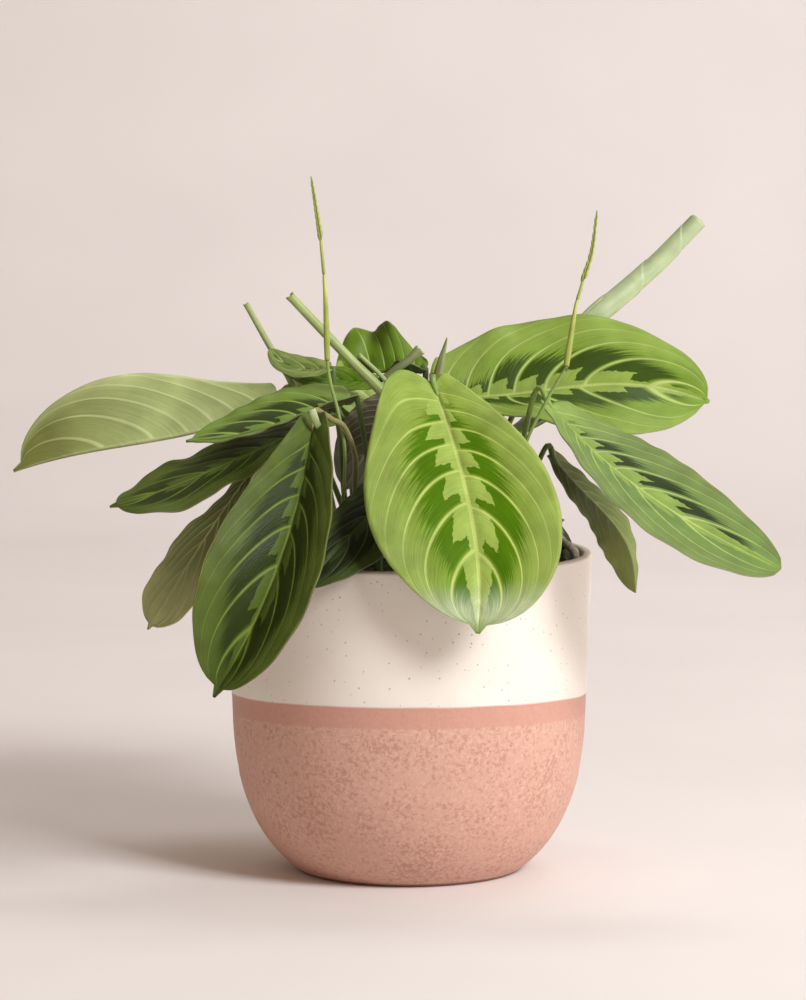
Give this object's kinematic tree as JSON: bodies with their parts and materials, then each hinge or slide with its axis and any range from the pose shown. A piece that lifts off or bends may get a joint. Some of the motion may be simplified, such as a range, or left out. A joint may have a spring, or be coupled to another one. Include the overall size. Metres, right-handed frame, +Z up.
{
  "type": "potted prayer plant maranta",
  "caption": "Prayer plant with patterned, folding oval leaves on thin stalks, rooted in potting soil in a round two-tone stoneware pot with a narrow flat foot.",
  "frame": {"origin": "centre of the pot's flat foot, on the surface the pot stands on", "axes": "+Z up along the pot's axis; +X to the right and +Y away from the viewer when the largest front leaf faces them"},
  "size_m": [0.3125, 0.2341, 0.289],
  "materials": {
    "leaf": "satin",
    "stalk": "satin",
    "glaze": "satin",
    "soil": "matte"
  },
  "bodies": {
    "root": {"leaf_front": "leaf", "leaf_right_upper": "leaf", "leaf_right_lower": "leaf", "leaf_right_hanging": "leaf", "leaf_left_far": "leaf", "leaf_left_upper": "leaf", "leaf_left_middle": "leaf", "leaf_left_hanging": "leaf", "leaf_front_left": "leaf", "leaf_front_inner": "leaf", "leaf_inner_small": "leaf", "leaf_top_wavy": "leaf", "leaf_top_left_curled": "leaf", "leaf_top_left": "leaf", "leaf_back": "leaf", "leaf_back_left": "leaf", "leaf_back_right": "leaf", "leaf_back_upper": "leaf", "leaf_right_back": "leaf", "rolled_leaf": "stalk", "young_shoot": "stalk", "cut_stalk_thick": "stalk", "cut_stalk_left": "stalk", "cut_stalk_thin": "stalk", "flower_stalk_left": "stalk", "flower_stalk_right": "stalk", "pot": "glaze", "soil": "soil"}
  },
  "joints": []
}
